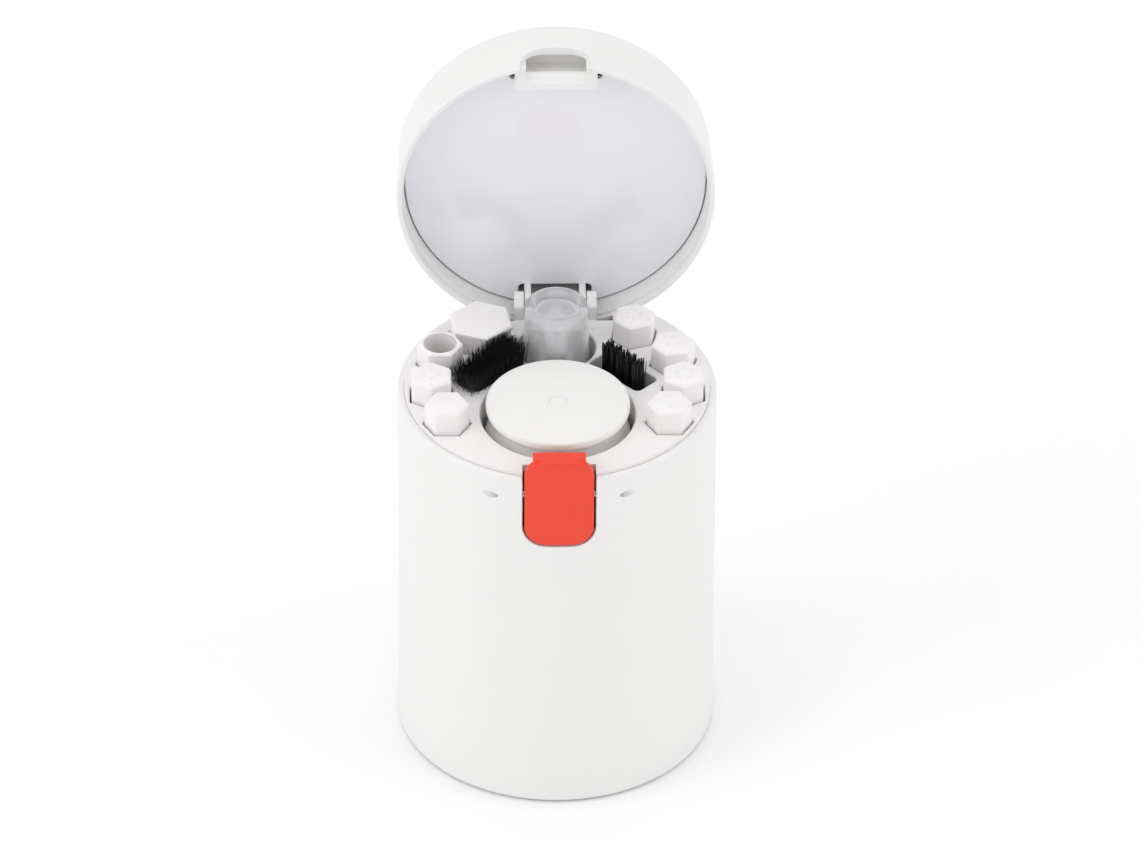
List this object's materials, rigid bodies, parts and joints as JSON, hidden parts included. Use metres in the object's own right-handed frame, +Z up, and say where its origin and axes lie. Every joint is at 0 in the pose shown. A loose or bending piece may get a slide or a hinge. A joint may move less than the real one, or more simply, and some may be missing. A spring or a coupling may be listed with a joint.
{
  "type": "brush cleaner",
  "caption": "Cylindrical flip-lid case that stores lift-out brushes, hexagonal tip tools, a squeeze blower and a capped spray bottle.",
  "frame": {"origin": "centre of the foot pad's underside", "axes": "+Z up along the case, +X to the right, -Y towards the latch"},
  "size_m": [0.08, 0.0921, 0.1762],
  "materials": {
    "case_white": "satin moulded",
    "tray_white": "satin moulded",
    "tool_white": "fine satin moulded",
    "panel_gloss": "polished",
    "latch_orange": "satin moulded",
    "silicone_white": "matte",
    "foot_rubber": "matte",
    "steel": "bright wire",
    "clear_cap": "polished clear plastic",
    "clear_bottle": "polished clear plastic",
    "spray_white": "polished",
    "bristle_black": "nylon filament",
    "foam_grey": "flocked"
  },
  "bodies": {
    "case": {"case_shell": "case_white", "base_plate": "case_white", "foot_pad": "foot_rubber", "base_screws": "steel", "tool_tray": "tray_white", "hinge_bracket": "tray_white", "hinge_screws": "steel", "hinge_pin": "steel", "hinge_spring": "steel", "latch_pin": "steel", "latch_spring": "steel", "lifter_spring": "steel"},
    "lid": {"lid_shell": "case_white", "lid_panel": "panel_gloss"},
    "latch": {"latch_button": "latch_orange"},
    "pick": {"pick_handle": "tool_white", "pick_needle": "steel"},
    "sponge": {"sponge_handle": "tool_white", "sponge_tip": "foam_grey"},
    "mini_brush": {"mini_brush_handle": "tool_white", "mini_brush_bristles": "bristle_black"},
    "ejector": {"ejector_handle": "tool_white", "ejector_pin": "steel"},
    "holder": {"tip_holder": "tool_white"},
    "scraper": {"scraper_handle": "tool_white", "scraper_blade": "tool_white"},
    "swab": {"swab_handle": "tool_white", "swab_tip": "silicone_white"},
    "puller": {"puller_body": "tool_white", "puller_cap": "tool_white", "puller_jaws": "steel"},
    "soft_brush": {"soft_brush_handle": "tool_white", "soft_brush_bristles": "bristle_black"},
    "stiff_brush": {"stiff_brush_handle": "tool_white", "stiff_brush_bristles": "bristle_black"},
    "blower": {"blower_bulb": "silicone_white", "blower_valve": "silicone_white", "blower_nozzle": "tool_white"},
    "lifter": {"bottle_lifter": "tool_white"},
    "bottle": {"spray_bottle": "clear_bottle", "spray_pump": "spray_white", "dip_tube": "clear_bottle"},
    "actuator": {"spray_actuator": "spray_white"},
    "overcap": {"bottle_overcap": "clear_cap"}
  },
  "joints": [
    {"name": "lid_hinge", "type": "hinge", "parent": "case", "child": "lid", "pos_m": [0, 0.0331, 0.1035], "axis": [-1, 0, 0], "range_deg": [-91.5, 0], "stiffness_Nm_per_rad": 0.006, "springref_deg": 20.05, "deforming": ["hinge_spring"]},
    {"name": "latch_rock", "type": "hinge", "parent": "case", "child": "latch", "pos_m": [0, -0.0361, 0.0947], "axis": [1, 0, 0], "range_deg": [0, 6.5], "stiffness_Nm_per_rad": 0.02, "springref_deg": -17.19, "deforming": ["latch_spring"]},
    {"name": "pick_lift", "type": "slide", "parent": "case", "child": "pick", "axis": [0, 0, 1], "range_m": [0, 0.085]},
    {"name": "sponge_lift", "type": "slide", "parent": "case", "child": "sponge", "axis": [0, 0, 1], "range_m": [0, 0.085]},
    {"name": "mini_brush_lift", "type": "slide", "parent": "case", "child": "mini_brush", "axis": [0, 0, 1], "range_m": [0, 0.085]},
    {"name": "ejector_lift", "type": "slide", "parent": "case", "child": "ejector", "axis": [0, 0, 1], "range_m": [0, 0.085]},
    {"name": "holder_lift", "type": "slide", "parent": "case", "child": "holder", "axis": [0, 0, 1], "range_m": [0, 0.06]},
    {"name": "scraper_lift", "type": "slide", "parent": "case", "child": "scraper", "axis": [0, 0, 1], "range_m": [0, 0.085]},
    {"name": "swab_lift", "type": "slide", "parent": "case", "child": "swab", "axis": [0, 0, 1], "range_m": [0, 0.085]},
    {"name": "puller_lift", "type": "slide", "parent": "case", "child": "puller", "axis": [0, 0, 1], "range_m": [0, 0.085]},
    {"name": "soft_brush_lift", "type": "slide", "parent": "case", "child": "soft_brush", "axis": [0, 0, 1], "range_m": [0, 0.09]},
    {"name": "stiff_brush_lift", "type": "slide", "parent": "case", "child": "stiff_brush", "axis": [0, 0, 1], "range_m": [0, 0.09]},
    {"name": "blower_lift", "type": "slide", "parent": "case", "child": "blower", "axis": [0, 0, 1], "range_m": [0, 0.085]},
    {"name": "lifter_slide", "type": "slide", "parent": "case", "child": "lifter", "axis": [0, 0, 1], "range_m": [-0.0073, 0], "deforming": ["lifter_spring"]},
    {"name": "bottle_lift", "type": "slide", "parent": "lifter", "child": "bottle", "axis": [0, 0, 1], "range_m": [0, 0.085]},
    {"name": "actuator_press", "type": "slide", "parent": "bottle", "child": "actuator", "axis": [0, 0, -1], "range_m": [0, 0.004], "stiffness_N_per_m": 250, "springref_m": -0.003},
    {"name": "overcap_pull", "type": "slide", "parent": "bottle", "child": "overcap", "axis": [0, 0, 1], "range_m": [0, 0.025]}
  ],
  "couplings": [
    {"joint": "lifter_slide", "follows": "lid_hinge", "m_per_rad": 0.00457}
  ]
}
